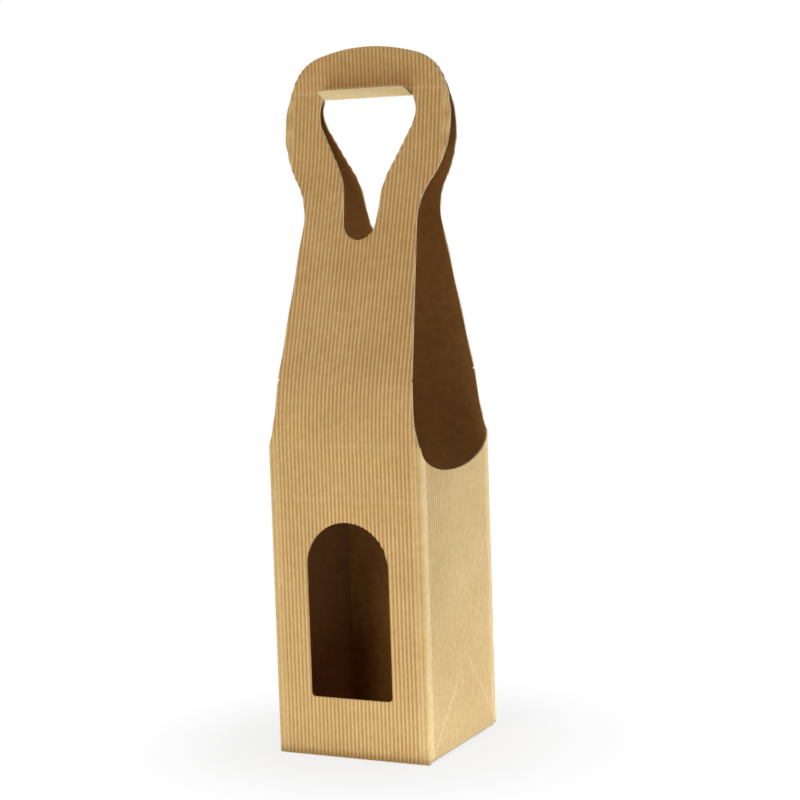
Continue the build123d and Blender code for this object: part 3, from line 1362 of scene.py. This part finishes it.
FINISHES = (
    KraftFinish(Finish.FLUTES, srgb(207, 174, 115), srgb(226, 196, 138), fluted=True),
    # Liner colour: a darker kraft, darkened further as painted shade for the shaded inside of the bag
    KraftFinish(Finish.LINER, srgb(147, 98, 42), srgb(170, 119, 55), 0.75, 0.15),
    KraftFinish(Finish.CUT_EDGE, srgb(222, 194, 143), srgb(238, 215, 170), 0.9, 0.4),
    # The hand flap's liner face: the liner's colour painted paler as painted light from below
    KraftFinish(Finish.FLAP_FACE, srgb(222, 190, 132), srgb(236, 207, 151), 0.75, 0.15),
)


@dataclass(frozen=True)
class SoftLamp:
    """Square soft lamp that the camera doesn't see, with its size in metres and its power in watts."""

    name: str
    place: Triple
    aim: Triple
    size: float
    power: float
    tint: Triple = (1, 1, 1)

    def build(self) -> None:
        """Hang the lamp and turn it to its aim."""
        lamp = bpy.data.lights.new(self.name, "AREA")
        lamp.size = self.size
        lamp.energy = self.power
        lamp.color = self.tint
        held = bpy.data.objects.new(self.name, lamp)
        held.location = self.place
        beam = Vector(self.aim) - Vector(self.place)
        held.rotation_euler = beam.to_track_quat("-Z", "Y").to_euler()
        held.visible_camera = False
        bpy.context.collection.objects.link(held)


LOW_TINT = (1.0, 1.14, 1.19)
HIGH_TINT = (0.97, 0.86, 0.79)
SIDE_TINT = (0.89, 1.03, 1.27)
# The glows lie on the floor and shine upwards
LAMPS = (
    SoftLamp("front_softbox", (-0.08, -0.6, 0.1), (0, 0, 0.06), 0.2, 0.45, LOW_TINT),
    SoftLamp("front_high_softbox", (-0.06, -0.8, 0.56), (0, 0, 0.38), 0.3, 2.9, HIGH_TINT),
    SoftLamp("front_far_glow", (-0.12, -0.36, 0.002), (-0.12, -0.36, 1), 0.4, 0.68, LOW_TINT),
    SoftLamp("front_near_glow", (0.03, -0.149, 0.002), (0.03, -0.149, 1), 0.2, 0.12, LOW_TINT),
    SoftLamp("right_softbox", (0.58, 0.2, 0.11), (0, 0, 0.06), 0.2, 2.85, SIDE_TINT),
    SoftLamp("right_near_glow", (0.174, 0.05, 0.002), (0.174, 0.05, 1), 0.25, 0.13),
    SoftLamp("back_softbox", (-0.5, 0.7, 0.36), (0, 0, 0.18), 0.4, 1.8),
    SoftLamp("top_softbox", (0.15, -0.05, 1.2), (0, 0, 0.1), 0.6, 2.4),
)


@dataclass
class Studio:
    """Pale floor, soft lamps and the camera."""

    fill: float = 0.04
    floor_half: float = 20.0
    floor_tone: Colour = (0.82, 0.82, 0.82, 1)
    shadow_near: float = 0.05
    shadow_far: float = 0.16
    near_white: float = 0.8
    lens: float = 90.1
    sensor: float = 36.0
    eye: Triple = (487.9 * MM, -991.0 * MM, 293.9 * MM)
    azimuth: float = radians(25.61)
    pitch: float = radians(5.32)
    roll: float = radians(-1.89)

    def build(self) -> None:
        """Build the studio."""
        self.build_world()
        self.build_floor()
        for lamp in LAMPS:
            lamp.build()
        self.add_camera()

    def build_world(self) -> None:
        """White to the eye, and a low even fill for the object."""
        world = bpy.data.worlds.new("studio")
        bpy.context.scene.world = world
        world.use_nodes = True
        nodes, links = world.node_tree.nodes, world.node_tree.links
        sky = nodes["Background"]
        sky.inputs["Color"].default_value = WHITE
        strength = nodes.new("ShaderNodeMapRange")
        strength.inputs["To Min"].default_value = self.fill
        strength.inputs["To Max"].default_value = 1.0
        links.new(self.seen_rays(world.node_tree), strength.inputs["Value"])
        links.new(strength.outputs["Result"], sky.inputs["Strength"])

    def seen_rays(self, tree: bpy.types.NodeTree) -> Socket:
        """Mask the rays that show the background, straight, in a reflection or through something clear.

        Args:
            tree: Node tree of the world or of the floor.

        Returns:
            Socket that is 1 for those rays and 0 for the light on things.
        """
        path = tree.nodes.new("ShaderNodeLightPath")
        seen = path.outputs["Is Camera Ray"]
        for ray in ("Is Glossy Ray", "Is Transmission Ray"):
            either = tree.nodes.new("ShaderNodeMath")
            either.operation = "MAXIMUM"
            tree.links.new(seen, either.inputs[0])
            tree.links.new(path.outputs[ray], either.inputs[1])
            seen = either.outputs[0]
        return seen

    def build_floor(self) -> None:
        """Pale floor that keeps the shadow near the bag and runs out to white."""
        mesh = bmesh.new()
        bmesh.ops.create_grid(mesh, x_segments=1, y_segments=1, size=self.floor_half)
        data = bpy.data.meshes.new("floor")
        mesh.to_mesh(data)
        mesh.free()
        floor = bpy.data.objects.new("floor", data)
        bpy.context.collection.objects.link(floor)
        paper = bpy.data.materials.new("floor_paper")
        paper.use_nodes = True
        nodes, links = paper.node_tree.nodes, paper.node_tree.links
        shader = nodes["Principled BSDF"]
        shader.inputs["Base Color"].default_value = self.floor_tone
        shader.inputs["Roughness"].default_value = 1.0
        shader.inputs["Specular IOR Level"].default_value = 0.0
        place = nodes.new("ShaderNodeTexCoord")
        distance = nodes.new("ShaderNodeVectorMath")
        distance.operation = "LENGTH"
        links.new(place.outputs["Object"], distance.inputs[0])
        far = nodes.new("ShaderNodeMapRange")
        far.interpolation_type = "SMOOTHSTEP"
        far.inputs["From Min"].default_value = self.shadow_near
        far.inputs["From Max"].default_value = self.shadow_far
        far.inputs["To Min"].default_value = self.near_white
        links.new(distance.outputs["Value"], far.inputs["Value"])
        white_share = nodes.new("ShaderNodeMath")
        white_share.operation = "MULTIPLY"
        links.new(far.outputs["Result"], white_share.inputs[0])
        links.new(self.seen_rays(paper.node_tree), white_share.inputs[1])
        white = nodes.new("ShaderNodeEmission")
        mix = nodes.new("ShaderNodeMixShader")
        links.new(white_share.outputs[0], mix.inputs["Fac"])
        links.new(shader.outputs["BSDF"], mix.inputs[1])
        links.new(white.outputs["Emission"], mix.inputs[2])
        links.new(mix.outputs["Shader"], nodes["Material Output"].inputs["Surface"])
        data.materials.append(paper)

    def add_camera(self) -> None:
        """Add the camera at the photograph's viewing angle."""
        level = Vector((cos(self.azimuth), sin(self.azimuth), 0))
        inward = Vector((-sin(self.azimuth), cos(self.azimuth), 0))
        ahead = inward * cos(self.pitch) - Vector((0, 0, sin(self.pitch)))
        upright = level.cross(ahead)
        right = level * cos(self.roll) + upright * sin(self.roll)
        top = upright * cos(self.roll) - level * sin(self.roll)
        lens = bpy.data.cameras.new("camera")
        lens.lens = self.lens
        lens.sensor_width = self.sensor
        camera = bpy.data.objects.new("camera", lens)
        turn = Matrix((right, top, -ahead)).transposed().to_4x4()
        camera.matrix_world = Matrix.Translation(self.eye) @ turn
        bpy.context.collection.objects.link(camera)
        bpy.context.scene.camera = camera


def main() -> None:
    """Build the finishes, the bag and the studio in order."""
    bpy.context.scene.view_settings.view_transform = "Standard"
    for finish in FINISHES:
        finish.build()
    piece = Bag().build()
    LOG.info("bag: %d faces", len(piece.data.polygons))
    Studio().build()


if __name__ == "__main__":
    logging.basicConfig(level=logging.INFO)
    main()
